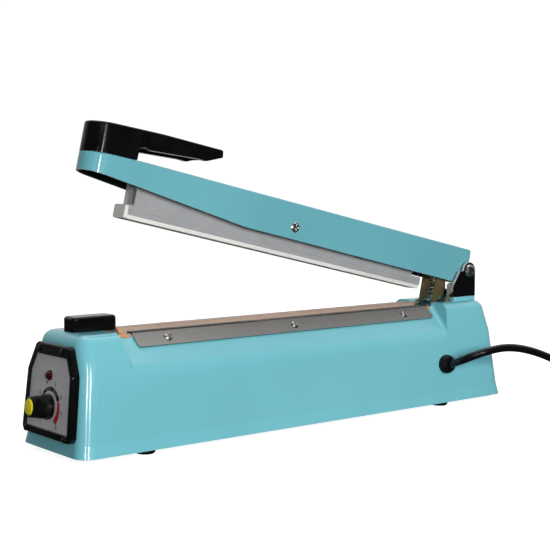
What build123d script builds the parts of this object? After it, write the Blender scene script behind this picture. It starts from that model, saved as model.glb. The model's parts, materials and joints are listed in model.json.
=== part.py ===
from build123d import *
import math
import os

# A hand impulse heat sealer with a 300 mm seal, standing on four feet with its arm raised.
# X runs from the control panel (-X) to the hinge (+X), the cord leaves on the -Y side, Z is up.
# The drawings below have x = 0 at the middle of the base. The whole model is then shifted along X so that
# the origin is under the middle of its box, on the table.

# ---- driving dimensions, mm and degrees ----
SHEET = 1.5                 # painted steel of the base and the arm
BASE_BOTTOM = 4.2           # lower edge of the base above the table
BASE_HALF_L = 210.5
BASE_HALF_W = 44.0
SKIRT_TOP = 13.0            # the lowest band flares out up to here
WAIST_HALF_L = 208.9
WAIST_HALF_W = 42.2
SHOULDER_Z = 60.0           # the sides lean in more above this
SHOULDER_HALF_L = 204.0
SHOULDER_HALF_W = 37.4
CROWN_Z = 80.0
CROWN_HALF_L = 201.9
CROWN_HALF_W = 31.3
TOP_Z = 85.5                # flat top of the two end blocks
CORNER_R = 11.0
TOP_R = 9.0
ROOF_Z = 82.0               # flat top between the end blocks
ROOF_HALF_W = 14.0
ROOF_X = (-171.5, 151.5)    # ends of the lowered middle, at the roof
SHOULDER_SLOPE = (ROOF_Z - SHOULDER_Z - 0.5) / (SHOULDER_HALF_W - ROOF_HALF_W)
WALL_DRAFT = (WAIST_HALF_W - SHOULDER_HALF_W) / (SHOULDER_Z - SKIRT_TOP)
CREASE_R = 14.0             # softens the bend between the shoulder and the side
PAD_Z = 88.8                # raised pad under the hinge bracket
SLOT_X = (149.0, 189.0)
SLOT_HALF_W = 13.0
PLATE_T = 1.2               # bottom plate, set up inside the lower edge
FLOOR_Z = BASE_BOTTOM + 2 * PLATE_T
SHELF_Z = 66.0              # switch shelf hanging under the slot

PIVOT_X = 192.2
PIVOT_Z = 110.9
OPEN_ANGLE = 12.8
PIN_R = 3.0
RUNNING = 0.05              # radial clearance of a running fit
EAR_HALF_GAP = 16.5
EAR_T = 2.5

ARM_HALF_W = 15.0
ARM_FRONT = -387.0          # from here on: lengths along the arm, measured from the pivot
ARM_REAR = 2.5
BAR_SCREW = (-199.8, -1.6)
HANDLE_SCREWS_X = (-376.0, -361.0)
STRIP_X = (-349.0, -47.0)
STRIP_BOTTOM = -24.8
HOLDER_BOTTOM = -21.7
HOLDER_TOP = -15.0

RIDGE_X = (-157.0, 134.0)
RIDGE_TOP = 84.8
CLOTH_T = 0.3
CLAMP_X = (-152.5, 142.0)
CLAMP_T = 1.2
CLAMP_SCREWS_X = (-125.0, -7.4, 111.0)
CLAMP_SCREW_Y = 19.0
TERMINALS_X = (-164.5, 143.0)
COVER_SCREW_X = -186.0

M3_R = 1.5                  # screw shanks, and the holes they pass through
M3_HOLE_R = 1.55
M4_R = 1.95
M4_HOLE_R = 2.05
SELF_TAP_R = 1.45
BAR_SCREW_R = 2.0
PRESSED = 0.02              # radial gap round what is pressed in
HINGE_SCREWS = ((194.5, -8.0), (194.5, 8.0))
RIVETS_X = (-24.5, -19.5)
RIVET_HOLE_R = 1.55
PLUNGER_AT = (181.5, -7.0)
PLUNGER_R = 3.6
PLUNGER_BORE_R = 3.65
SPRING_LOW = (161.5, 0, 68.4)
SPRING_HIGH = (166.9, 0, 105.5)

PANEL_Z = 43.0
DIAL_V = -8.5               # dial centre, up the panel from PANEL_Z
LAMP_V = 13.0
LAMP_U = -2.5

FEET = [(x, y) for x in (-152.0, 143.0) for y in (-31.0, 31.0)]
FOOT_R = 7.8

CORD_D = 6.5
GLAND_X = 140.4
GLAND_Z = 36.0
GLAND_PROUD = 7.0
COIL_MID_R = 36.0           # middle turn of the put-away length
PLUG_T = 13.6

ORIGIN_SHIFT = 8.0          # from the middle of the base to the middle of the whole machine without its cord

NODES = {}


# ---- helpers ----
def box(x0, x1, y0, y1, z0, z1):
    """A block between two corners."""
    middle = ((x0 + x1) / 2, (y0 + y1) / 2, (z0 + z1) / 2)
    return Pos(*middle) * Box(x1 - x0, y1 - y0, z1 - z0)


def rod(radius, start, end):
    """A round bar from one point to another."""
    start, end = Vector(*start), Vector(*end)
    return extrude(Plane(start, z_dir=end - start) * Circle(radius), (end - start).length)


def rounded_outline(points, rounds):
    """A flat face from its corner points; rounds lists (point, radius) for the corners that are rounded."""
    outline = make_face(Polyline(*points, close=True))
    for point, radius in rounds:
        corner = outline.vertices().sort_by_distance((*point, 0))[0]
        outline = fillet(corner, radius)
    return outline


def across(points, half_width, rounds=()):
    """A prism across the sealer, from an outline of (x, z) points."""
    return Rot(90, 0, 0) * extrude(rounded_outline(points, rounds), half_width, both=True)


def along(points, x0, x1, rounds=()):
    """A prism along the sealer, from an outline of (y, z) points."""
    return Pos(x0, 0, 0) * extrude(Plane.YZ * rounded_outline(points, rounds), x1 - x0)


def band(points, thickness):
    """The closed outline of a thin sheet lying to the left of a line of points."""
    upper = []
    for i, (a, b) in enumerate(points):
        before = points[max(i - 1, 0)]
        after = points[min(i + 1, len(points) - 1)]
        d0 = Vector(a - before[0], b - before[1])
        d1 = Vector(after[0] - a, after[1] - b)
        d0 = (d0 if d0.length else d1).normalized()
        d1 = (d1 if d1.length else d0).normalized()
        mitre = Vector(-(d0.Y + d1.Y), d0.X + d1.X)
        scale = 2 * thickness / mitre.length**2
        upper.append((a + mitre.X * scale, b + mitre.Y * scale))
    return list(points) + upper[::-1]


def turned(outline, axis_plane):
    """A solid of revolution from (radius, height) points about the plane's normal."""
    face = make_face(Polyline(*[(r, 0, h) for r, h in outline], close=True))
    return axis_plane * revolve(face, Axis.Z)


def dome_screw(seat, head_r, head_h, shank_r, length, recess=True):
    """A cross-head screw: the plane lies on its seat with the normal out of the head."""
    dome = [(0, 0), (head_r, 0), (head_r, 0.35 * head_h), (0.78 * head_r, 0.8 * head_h), (0.4 * head_r, head_h),
            (0, head_h)]
    screw = turned(dome, seat) + seat * Pos(0, 0, -length / 2) * Cylinder(shank_r, length)
    if recess:
        for angle in (0, 90):
            screw -= seat * Rot(0, 0, angle) * Pos(0, 0, head_h) * Box(1.1 * head_r, 0.3 * head_r, 0.9 * head_h)
    return screw


def add(node, *shapes):
    """Puts solids in a node of the base, in the frame of the finished model."""
    NODES[node] = [solid for shape in shapes for solid in shape.solids()]


def raise_arm(shape):
    """Takes a shape drawn about the pivot, arm level, to its place on the raised arm."""
    return Pos(PIVOT_X, 0, PIVOT_Z) * Rot(0, OPEN_ANGLE, 0) * shape


def add_arm(node, *shapes):
    add(node, *[raise_arm(shape) for shape in shapes])


# ---- base housing ----
def rounded_level(z, half_l, half_w, corner):
    return Plane.XY.offset(z) * RectangleRounded(2 * half_l, 2 * half_w, corner)


def housing_form(inset):
    """The drawn shell without its lowered middle, inset by the sheet thickness for its inside."""
    lean = (CROWN_HALF_W - SHOULDER_HALF_W) / (CROWN_Z - SHOULDER_Z)
    top_half_w = CROWN_HALF_W + lean * (TOP_Z - CROWN_Z)
    levels = [
        (BASE_BOTTOM, BASE_HALF_L, BASE_HALF_W),
        (SKIRT_TOP, WAIST_HALF_L, WAIST_HALF_W),
        (SHOULDER_Z, SHOULDER_HALF_L, SHOULDER_HALF_W),
        (TOP_Z - inset, CROWN_HALF_L - 0.6, top_half_w),
    ]
    faces = [rounded_level(z, l - inset, w - inset, CORNER_R - inset) for z, l, w in levels]
    form = loft(faces, ruled=True)
    rim = form.edges().group_by(Axis.Z)[-1]
    return fillet(rim, TOP_R - inset)


def air_over_middle(drop):
    """The (y, z) section of the air over the lowered middle, and its rounded bends, lowered by drop.

    Each bend is just inside the side wall, and the line below it leans out a little more than the wall,
    so that the rounding runs out into the wall.
    """
    inside, exit_drop = 0.15, 7.0
    roof = ROOF_Z - drop
    knee = ROOF_HALF_W - drop * math.tan(math.atan(SHOULDER_SLOPE) / 2)
    meet = (knee + roof / SHOULDER_SLOPE - SHOULDER_HALF_W - SHOULDER_Z * WALL_DRAFT + drop)
    meet /= 1 / SHOULDER_SLOPE - WALL_DRAFT
    bend_z = meet + inside * SHOULDER_SLOPE
    bend = knee + (roof - bend_z) / SHOULDER_SLOPE
    exit_y = wall_half_w(bend_z - exit_drop) - drop
    low, low_y = bend_z - 2 * exit_drop, 2 * exit_y - bend
    far = BASE_HALF_W + 16
    half = [(knee, roof), (bend, bend_z), (low_y, low), (far, low), (far, 120)]
    outline = [(-y, z) for y, z in half[::-1]] + half
    return outline, [((side * bend, bend_z), CREASE_R - drop) for side in (-1, 1)]


def shoulder_cut(grow):
    """What is taken from the form to lower its middle, with sloping, rounded ends."""
    x0, x1 = ROOF_X
    front = [(x0 - 0.5 - grow, 90), (x0 + 5.5 - grow, 60), (x0 + 9.5 - grow, 40)]
    rear = [(x1 - 9.5 + grow, 40), (x1 - 5.5 + grow, 60), (x1 + 0.5 + grow, 90)]
    middle = across(front + rear, BASE_HALF_W + 20)
    outline, bends = air_over_middle(grow)
    cut = middle & along(outline, x0 - 20, x1 + 20, bends)
    ends = [e for e in cut.edges() if e.length > 5 and abs(e.center().Z - 62) < 30
            and (e.center().X < x0 + 12 or e.center().X > x1 - 12) and abs(e.center().Y) < 35
            and e.center().Z < 86]
    return fillet(ends, 3.5 - 0.5 * grow)


def slope_plane(x, y):
    """A plane on the shoulder's face at this x and y, with its normal out of the metal."""
    z = ROOF_Z - SHOULDER_SLOPE * (abs(y) - ROOF_HALF_W)
    side = math.copysign(1, y)
    return Plane((x, y, z), x_dir=(1, 0, 0), z_dir=(0, side * SHOULDER_SLOPE, 1))


def wall_half_w(z):
    """Half the width of the base's outside at a height below the shoulder."""
    return WAIST_HALF_W - WALL_DRAFT * (z - SKIRT_TOP)


def gland_plane():
    """Where the cord leaves: on the near wall, facing out of it."""
    return Plane((GLAND_X, -wall_half_w(GLAND_Z), GLAND_Z), x_dir=(1, 0, 0), z_dir=(0, -1, WALL_DRAFT))


def panel_plane():
    """The leaning front face: local x to the right, local y up, normal forwards."""
    run = WAIST_HALF_L - SHOULDER_HALF_L
    rise = SHOULDER_Z - SKIRT_TOP
    x = -(WAIST_HALF_L - run * (PANEL_Z - SKIRT_TOP) / rise)
    return Plane((x, 0, PANEL_Z), x_dir=(0, -1, 0), z_dir=(-rise, 0, run))


def pad():
    """The raised pad that the hinge bracket stands on, open towards the slot."""
    block = box(172.5, 199.6, -20, 20, ROOF_Z, PAD_Z)
    block = fillet(block.edges().filter_by(Axis.Z), 2.5)
    block = fillet(block.faces().sort_by(Axis.Z)[-1].edges(), 0.9)
    return block - box(160, SLOT_X[1], -14.5, 14.5, ROOF_Z - 1, PAD_Z + 1)


def housing():
    outer = housing_form(0) - shoulder_cut(0)
    inner = housing_form(SHEET) - shoulder_cut(SHEET)
    shell = outer - inner + (pad() - inner)
    for x, y in FEET:
        shell += Pos(x, y, 40) * Cylinder(4.5, 66) & outer
        shell -= Pos(x, y, 20) * Cylinder(M4_R + RUNNING, 32)
    shell -= box(*SLOT_X, -SLOT_HALF_W, SLOT_HALF_W, 70, 100)
    shell -= panel_plane() * Pos(0, -1, 0) * Box(46, 40, 12)
    shell -= gland_plane() * Cylinder(6.5, 20)
    for x in CLAMP_SCREWS_X:
        for y in (-CLAMP_SCREW_Y, CLAMP_SCREW_Y):
            shell -= slope_plane(x, y) * Cylinder(M3_HOLE_R, 16)
    for x, y in HINGE_SCREWS:
        shell -= Pos(x, y, 86) * Cylinder(M4_HOLE_R, 16)
    for x in (COVER_SCREW_X, *TERMINALS_X):
        shell -= Pos(x, 0, 82) * Cylinder(M4_HOLE_R, 20)
    return shell


def base_fittings():
    seat_z, vents = BASE_BOTTOM + PLATE_T, 9
    plate = box(-205.5, 205.5, -38.5, 38.5, seat_z, FLOOR_Z)
    plate = fillet(plate.edges().filter_by(Axis.Z), 8)
    feet, screws = [], []
    for x, y in FEET:
        foot = turned([(M4_HOLE_R, seat_z), (FOOT_R, seat_z), (FOOT_R - 0.8, 0.9), (FOOT_R - 1.7, 0), (4.2, 0),
                       (4.2, 3.0), (M4_HOLE_R, 3.0)], Plane.XY)
        feet.append(Pos(x, y, 0) * foot)
        screws.append(dome_screw(Plane((x, y, 3.0), z_dir=(0, 0, -1)), 3.6, 2.2, M4_R, 24))
        plate -= Pos(x, y, 6) * Cylinder(M4_HOLE_R, 6)
    for i in range(vents):
        plate -= Pos(60 + 8 * i, 0, 6) * Box(3, 40, 6)
    add("bottom_plate", plate)
    add("rubber_feet", *feet)
    add("base_screws", *screws)


# ---- control panel ----
def panel_outline(shrink):
    """The six-sided outline, narrower above its shoulders."""
    sides = [(34.0, -29.6), (32.0, 15.5), (22.0, 35.0)]
    points = sides + [(-u, v) for u, v in sides[::-1]]
    outline = make_face(Polyline(*points, close=True))
    outline = fillet(outline.vertices(), 5.0)
    return offset(outline, -shrink) if shrink else outline


def control_panel():
    plane = panel_plane()
    rim_h, web_h, plate_t = 5.4, 2.6, 0.8
    plate_v = (-24.6, 27.0)
    window = panel_outline(3.6) & Pos(0, sum(plate_v) / 2) * Rectangle(80, plate_v[1] - plate_v[0])
    body = extrude(panel_outline(0), rim_h)
    body = fillet(body.faces().sort_by(Axis.Z)[-1].edges(), 1.6)
    body -= Pos(0, 0, web_h) * extrude(window, 10)
    plate = Pos(0, 0, web_h) * extrude(offset(window, -0.15), plate_t)
    holes = [(0, DIAL_V, 3.7), (LAMP_U, LAMP_V, 3.05)]
    for u, v, r in holes:
        body -= Pos(u, v, 0) * Cylinder(r, 20)
        plate -= Pos(u, v, 0) * Cylinder(r, 20)
    seats = [(u * side, v) for u, v in ((15.5, 30.8), (27.5, -27.0)) for side in (-1, 1)]
    screws = []
    for u, v in seats:
        body -= Pos(u, v, 0) * Cylinder(1.3, 30)
        screws.append(dome_screw(plane * Plane((u, v, rim_h)), 2.3, 1.2, 1.25, 5.2))
    add("panel_bezel", plane * body)
    add("dial_plate", plane * plate)
    add("bezel_screws", *screws)
    lamp_plane = plane * Plane((LAMP_U, LAMP_V, 0))
    add("indicator_lamp", turned([(0, -9), (3.0, -9), (3.0, web_h + plate_t), (3.7, web_h + plate_t), (3.7, 4.2),
                                  (2.9, 4.6), (2.4, 5.8), (1.3, 6.5), (0, 6.7)], lamp_plane))
    dial = plane * Plane((0, DIAL_V, 0))
    shell = [(0, -12), (8.2, -12), (8.2, -1.2), (3.6, -1.2), (3.6, 5.4), (3.05, 5.4), (3.05, -2.0), (0, -2.0)]
    add("potentiometer", turned(shell, dial))
    add("pot_shaft", turned([(0, -1.9), (3.0, -1.9), (3.0, 13.5), (0, 13.5)], dial))
    nut = extrude(RegularPolygon(5.6, 6), 1.9) - Cylinder(3.65, 10)
    add("pot_nut", dial * Pos(0, 0, web_h + plate_t) * nut)
    knob = turned([(0, 13.6), (3.02, 13.6), (3.02, 5.8), (6.8, 5.8), (6.8, 4.2), (8.9, 4.2), (8.9, 5.6), (8.4, 6.2),
                   (7.1, 18.4), (6.5, 19.1), (5.9, 19.1), (5.9, 16.4), (0, 16.4)], dial)
    flutes = 18
    for i in range(flutes):
        groove = Rot(0, 0, i * 360 / flutes) * Pos(8.2, 0, 13.2) * Rot(0, -5, 0) * Cylinder(0.6, 12)
        knob -= dial * groove
    add("timer_knob", knob)
    add("knob_cap", turned([(0, 16.4), (5.8, 16.4), (5.8, 19.0), (5.0, 19.7), (0, 20.1)], dial))
    return plane


def timer_electronics(plane):
    board_w = -13.6
    board = Pos(0, -4, board_w - 0.8) * Box(44, 34, 1.6)
    board -= Pos(0, DIAL_V, board_w) * Cylinder(4, 6)
    add("timer_board", plane * board)
    back = board_w - 1.6
    add("timer_relay", plane * Pos(-12, 2, back - 7.8) * Box(15.5, 19.5, 15.6))
    can = turned([(0, 0), (6.3, 0), (6.3, 1.4), (5.9, 1.9), (6.3, 2.4), (6.3, 20), (5.6, 20.8), (0, 20.8)], Plane.XY)
    add("timer_capacitor", plane * Pos(11, 3, back) * Rot(180, 0, 0) * can)
    pillars = [plane * Pos(u, -18, board_w / 2) * Cylinder(2.4, -board_w) for u in (-19, 19)]
    add("board_pillars", *pillars)


# ---- power parts in the base ----
def transformer():
    x, z0 = 70.0, FLOOR_Z
    half_x, half_y, height = 30.0, 25.0, 50.0
    core = box(x - half_x, x + half_x, -half_y + 6, half_y - 6, z0, z0 + height)
    for side in (-1, 1):
        core -= box(x + side * 16 - 5.5, x + side * 16 + 5.5, -30, 30, z0 + 10, z0 + height - 10)
    coil = box(x - 21.3, x + 21.3, -24.5, 24.5, z0 + 10.2, z0 + height - 10.2)
    coil = fillet(coil.edges().filter_by(Axis.Z), 6)
    coil -= box(x - 10.5, x + 10.5, -19, 19, z0, z0 + height)
    add("transformer_core", core)
    add("transformer_winding", coil)
    strap = []
    for side in (-1, 1):
        foot = box(x + side * 37 - 7, x + side * 37 + 7, -14, 14, z0, z0 + 1.5)
        web = box(x + side * 30.9 - 0.75, x + side * 30.9 + 0.75, -14, 14, z0, z0 + 40)
        strap.append(foot + web)
    add("transformer_brackets", *strap)
    block = box(118, 132, -18, 18, z0, z0 + 16)
    for y in (-12, 0, 12):
        block -= rod(2.6, (110, y, z0 + 7), (140, y, z0 + 7))
    add("mains_terminal_block", block)


def switch_group():
    """The shelf under the slot, with the microswitch, its plunger and guide, and the spring's seat."""
    floor = SHELF_Z + SHEET
    shelf = box(154, 189.5, -15, 15, SHELF_Z, floor)
    shelf += box(188, 189.5, -15, 15, SHELF_Z, TOP_Z - SHEET)
    shelf += box(188, 199, -15, 15, TOP_Z - 2 * SHEET, TOP_Z - SHEET)
    shelf &= housing_form(SHEET + 0.05)
    for x, y in HINGE_SCREWS:
        shelf -= Pos(x, y, 83) * Cylinder(M4_HOLE_R, 8)
    add("switch_shelf", shelf)
    px, py = PLUNGER_AT
    body = box(168, 187.8, py - 3.2, py + 3.2, floor, 76.6) - Pos(px, py, 76) * Cylinder(1.65, 8)
    add("microswitch", body)
    add("switch_button", Pos(px, py, 77.0) * Cylinder(1.6, 4.2))
    stem = Plane((px, py, 79.1))
    add("switch_plunger", turned([(0, 0), (PLUNGER_R, 0), (PLUNGER_R, 18.9), (2.7, 20.3), (1.2, 20.9), (0, 21.0)], stem))
    guide = Pos(px, py, 83.8) * Cylinder(4.9, 6.4) + box(177.6, 185.4, py - 5.0, py + 5.0, 79.2, 80.8)
    for side in (-1, 1):
        guide += box(177.6, 185.4, py + side * 4.2 - 0.8, py + side * 4.2 + 0.8, floor, 80.8)
    add("plunger_guide", guide - Pos(px, py, 82) * Cylinder(PLUNGER_BORE_R, 12))


# ---- hinge ----
def hinge():
    ear_out, knuckle_r = EAR_HALF_GAP + EAR_T, 7.2
    outline = [(171.6, PAD_Z), (171.6, 98.0), (183.0, 114.6), (199.4, 114.6), (199.4, PAD_Z)]
    ear = across(outline, ear_out)
    ear -= box(180, 202, -20, 20, PIVOT_Z, 125)
    ear += rod(knuckle_r, (PIVOT_X, -ear_out, PIVOT_Z), (PIVOT_X, ear_out, PIVOT_Z))
    ear += across([(178.6, 108.2), (184.9, 110.9), (186.7, 115.5), (192, 110)], ear_out)
    ear -= box(150, 210, -EAR_HALF_GAP, EAR_HALF_GAP, PAD_Z + EAR_T, 130)
    ear -= box(150, SLOT_X[1], -14.5, 14.5, PAD_Z - 1, PAD_Z + 10)
    ear -= rod(PIN_R + PRESSED, (PIVOT_X, -30, PIVOT_Z), (PIVOT_X, 30, PIVOT_Z))
    screws = []
    for x, y in HINGE_SCREWS:
        ear -= Pos(x, y, PAD_Z) * Cylinder(M4_HOLE_R, 12)
        screws.append(dome_screw(Plane((x, y, PAD_Z + EAR_T)), 3.6, 2.0, M4_R, 13))
    add("hinge_bracket", ear)
    add("hinge_bracket_screws", *screws)
    head = [(0, -2.6), (3.4, -2.5), (4.9, -1.6), (5.4, -0.4), (5.4, 0)]
    pin = turned(head + [(PIN_R, 0), (PIN_R, 2 * ear_out + 1.2), (2.2, 2 * ear_out + 1.2), (2.2, 2 * ear_out + 2.0),
                         (PIN_R, 2 * ear_out + 2.0), (PIN_R, 2 * ear_out + 3.4), (0, 2 * ear_out + 3.4)],
                 Plane((PIVOT_X, -ear_out, PIVOT_Z), z_dir=(0, 1, 0)))
    add("hinge_pin", pin)
    clip = Cylinder(5.2, 0.7) - Cylinder(2.25, 2) - Pos(4, 0, 0) * Box(8, 3.4, 2)
    add("pin_clip", Pos(PIVOT_X, ear_out + 1.6, PIVOT_Z) * Rot(90, 0, 0) * clip)


# ---- heater ----
def heater():
    x0, x1 = RIDGE_X
    bar = along([(-6.2, ROOF_Z), (6.2, ROOF_Z), (5.6, RIDGE_TOP), (-5.6, RIDGE_TOP)], x0, x1)
    add("heater_bar", bar)
    add("insulation_tape", box(x0 + 2, x1 - 2, -4.5, 4.5, RIDGE_TOP, RIDGE_TOP + 0.2))
    screws = []
    strip_top = RIDGE_TOP + 0.4
    for name, a, b, head_h in (("front_terminal", -167.0, -162.0, 1.8), ("rear_terminal", 138.6, 147.4, 0.4)):
        middle = (a + b) / 2
        post = box(a, b, -4.5, 4.5, ROOF_Z, RIDGE_TOP + 0.2) - Pos(middle, 0, ROOF_Z) * Cylinder(1.25, 10)
        screws.append(dome_screw(Plane((middle, 0, strip_top)), 2.3, head_h, 1.2, 7.5, head_h > 1))
        add(name, post)
    ribbon = box(-166.6, 146.6, -1.5, 1.5, strip_top - 0.2, strip_top)
    for screw_x in TERMINALS_X:
        ribbon -= Pos(screw_x, 0, strip_top) * Cylinder(1.25, 2)
    add("heater_strip", ribbon)
    add("terminal_screws", *screws)
    lie = 0.06
    half = [(0, RIDGE_TOP + 0.7), (5.5, RIDGE_TOP + 0.7), (6.6, RIDGE_TOP - 0.5), (8.6, ROOF_Z + lie),
            (ROOF_HALF_W + 0.05, ROOF_Z + lie), (23.0, ROOF_Z + lie - SHOULDER_SLOPE * (23.0 - ROOF_HALF_W - 0.05))]
    line = [(-y, z) for y, z in half[:0:-1]] + half
    cloth = along(band(line, CLOTH_T), -158.6, 137.0)
    flap = half[3:]
    for side in (-1, 1):
        edge = [(side * y, z) for y, z in flap]
        edge = edge if side > 0 else edge[::-1]
        cloth += along(band(edge, CLOTH_T), -164.6, 146.6)
    lift = lie + CLOTH_T + 0.05
    leg = [(9.2, ROOF_Z + lift), (ROOF_HALF_W + 0.2, ROOF_Z + lift),
           (24.2, ROOF_Z + lift - SHOULDER_SLOPE * (24.2 - ROOF_HALF_W - 0.2))]
    screws = []
    for side, name in ((-1, "clamp_strip_near"), (1, "clamp_strip_far")):
        line = [(side * y, z) for y, z in leg]
        strip = along(band(line if side > 0 else line[::-1], CLAMP_T), *CLAMP_X)
        corners = [e for e in strip.edges() if e.length < 1.5 and abs(e.center().Y) > 23.5 and e.center().Z < 76]
        strip = fillet(corners, 3.0)
        for x in CLAMP_SCREWS_X:
            hole = slope_plane(x, side * CLAMP_SCREW_Y) * Cylinder(M3_HOLE_R, 8)
            strip -= hole
            cloth -= hole
            seat = slope_plane(x, side * CLAMP_SCREW_Y) * Plane((0, 0, CLAMP_T + 0.46))
            screws.append(dome_screw(seat, 3.2, 1.7, M3_R, 9))
        add(name, strip)
    add("clamp_strip_screws", *screws)
    add("ptfe_cloth", cloth)


def terminal_cover():
    x0, x1, half_y, z0, z1 = -194.8, -159.5, 8.5, TOP_Z, 96.0
    outer = box(x0, x1, -half_y, half_y, z0, z1)
    outer = fillet(outer.edges().filter_by(Axis.Z), 4.2)
    outer = fillet(outer.faces().sort_by(Axis.Z)[-1].edges(), 2.4)
    inner = box(x0 + 2, x1 - 2, -half_y + 2, half_y - 2, z0 - 1, z1 - 2)
    cover = outer - fillet(inner.edges().filter_by(Axis.Z), 2.4)
    cover += Pos(COVER_SCREW_X, 0, (z0 + z1) / 2) * Cylinder(3.4, z1 - z0 - 0.5)
    cover -= Pos(COVER_SCREW_X, 0, z0) * Cylinder(SELF_TAP_R + RUNNING, 14)
    add("terminal_cover", cover)
    add("cover_screw", dome_screw(Plane((COVER_SCREW_X, 0, TOP_Z - SHEET), z_dir=(0, 0, -1)), 3.3, 1.9, SELF_TAP_R, 7.5))


# ---- arm ----
def arm_plan(half_w, front):
    """The arm's outline from above: straight sides and a half-round front."""
    middle = front + half_w
    shape = Pos((middle + 20) / 2, 0) * Rectangle(20 - middle, 2 * half_w)
    return shape + Pos(middle, 0) * Circle(half_w)


ARM_TOP = [(ARM_FRONT, 14.8), (-345.0, 16.2), (ARM_REAR, 18.6)]
ARM_LUG = [(3.2, 7.8), (7.0, 4.0), (7.0, -4.0), (-1.5, -12.2)]      # round the hinge pin
ARM_LOWER = [(-246.0, -10.9), (ARM_FRONT - 1, 1.7)]


def arm_shell():
    outline = [(ARM_FRONT - 1, ARM_TOP[0][1])] + ARM_TOP[1:] + ARM_LUG + ARM_LOWER
    rounds = [(ARM_LOWER[0], 60.0), (ARM_TOP[-1], 2.0)] + [(corner, 3.0) for corner in ARM_LUG[1:]]
    side = across(outline, 20, rounds)
    plan = Pos(0, 0, -40) * extrude(arm_plan(ARM_HALF_W, ARM_FRONT), 80)
    outer = side & plan
    rim = [e for e in outer.edges() if e.center().Z > 14.0]
    outer = fillet(rim, 1.4)
    recess = [(-27.0, -14.0), (9.0, 18.0), (14.0, 18.0), (14.0, -14.0)]
    for sign in (-1, 1):
        cutter = Pos(0, sign * (ARM_HALF_W + 4), 0) * across(recess, 5.2)
        cutter = chamfer(cutter.faces().sort_by(Axis.Y)[0 if sign > 0 else -1].edges(), 1.1)
        outer -= cutter
    floor = [(ARM_FRONT, ARM_TOP[0][1] - SHEET), (-345.0, 16.2 - SHEET), (ARM_REAR - SHEET, 18.6 - SHEET),
             (ARM_REAR - SHEET, -30.0), (ARM_FRONT, -30.0)]
    wide = across([p if p[0] < -300 else (-30.0, p[1]) for p in floor], 20)
    wide &= Pos(0, 0, -40) * extrude(arm_plan(ARM_HALF_W - SHEET, ARM_FRONT + SHEET), 80)
    narrow = across([(-40, 16.5), (ARM_REAR - SHEET, 16.9), (ARM_REAR - SHEET, -30.0), (-40, -30.0)], 12.0)
    narrow += across([(-40, 7.8), (20, 7.8), (20, -30.0), (-40, -30.0)], 12.0)
    shell = outer - wide - narrow
    shell -= rod(PIN_R + RUNNING, (0, -30, 0), (0, 30, 0))
    shell -= rod(BAR_SCREW_R + RUNNING, (BAR_SCREW[0], -30, BAR_SCREW[1]), (BAR_SCREW[0], 30, BAR_SCREW[1]))
    for x in HANDLE_SCREWS_X:
        shell -= Pos(x, 0, 15) * Cylinder(M4_HOLE_R, 12)
    for x in RIVETS_X:
        shell -= Pos(x, 0, 17) * Cylinder(RIVET_HOLE_R, 8)
    return shell


def handle():
    """A moulded shell: a block on the arm's front, with a grip that reaches back over a finger gap."""
    top = [(ARM_FRONT - 1, 36.2), (-332.0, 39.3), (-279.6, 40.5)]
    tip = [(-278.8, 34.8), (-292.5, 29.0), (-299.5, 29.0)]
    inner_corner = [(-341.0, 25.2), (-346.0, 26.4), (-350.6, 25.0), (-351.0, 10.0)]
    outline = top + tip + inner_corner + [(ARM_FRONT - 1, 10.0)]
    body = across(outline, 20, rounds=[(tip[0], 0.8), (inner_corner[1], 1.5)])
    body &= extrude(arm_plan(ARM_HALF_W, ARM_FRONT), 80)
    lid = [f for f in body.faces() if f.normal_at().Z > 0.9]
    rim = [e for f in lid for e in f.edges() if abs(e.center().X + 332) > 1]
    body = fillet(rim, 1.6)
    under = across([(ARM_FRONT - 3, 14.78), (-345.0, 16.27), (-260.0, 16.9), (-260.0, 0), (ARM_FRONT - 3, 0)], 25)
    body -= under
    wall = 2.4
    well = across([(ARM_FRONT, 0), (ARM_FRONT, 33.0), (-353.6, 34.9), (-353.6, 0)], 20)
    well &= extrude(arm_plan(ARM_HALF_W - wall, ARM_FRONT + wall + 1.2), 80)
    body -= well
    trough = across([(-351.0, 27.6), (-351.0, 35.4), (-283.4, 37.4), (-282.0, 35.6), (-293.0, 31.0), (-299.0, 31.0)],
                    ARM_HALF_W - wall)
    body -= trough
    body -= box(-344.0, -288.0, -ARM_HALF_W + 4.5, ARM_HALF_W - 4.5, 20, 34.0)
    for x in HANDLE_SCREWS_X:
        body += rod(3.6, (x, 0, 12), (x, 0, 36.4)) - under
        body -= rod(SELF_TAP_R + RUNNING, (x, 0, 10), (x, 0, 28))
    return body


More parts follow.
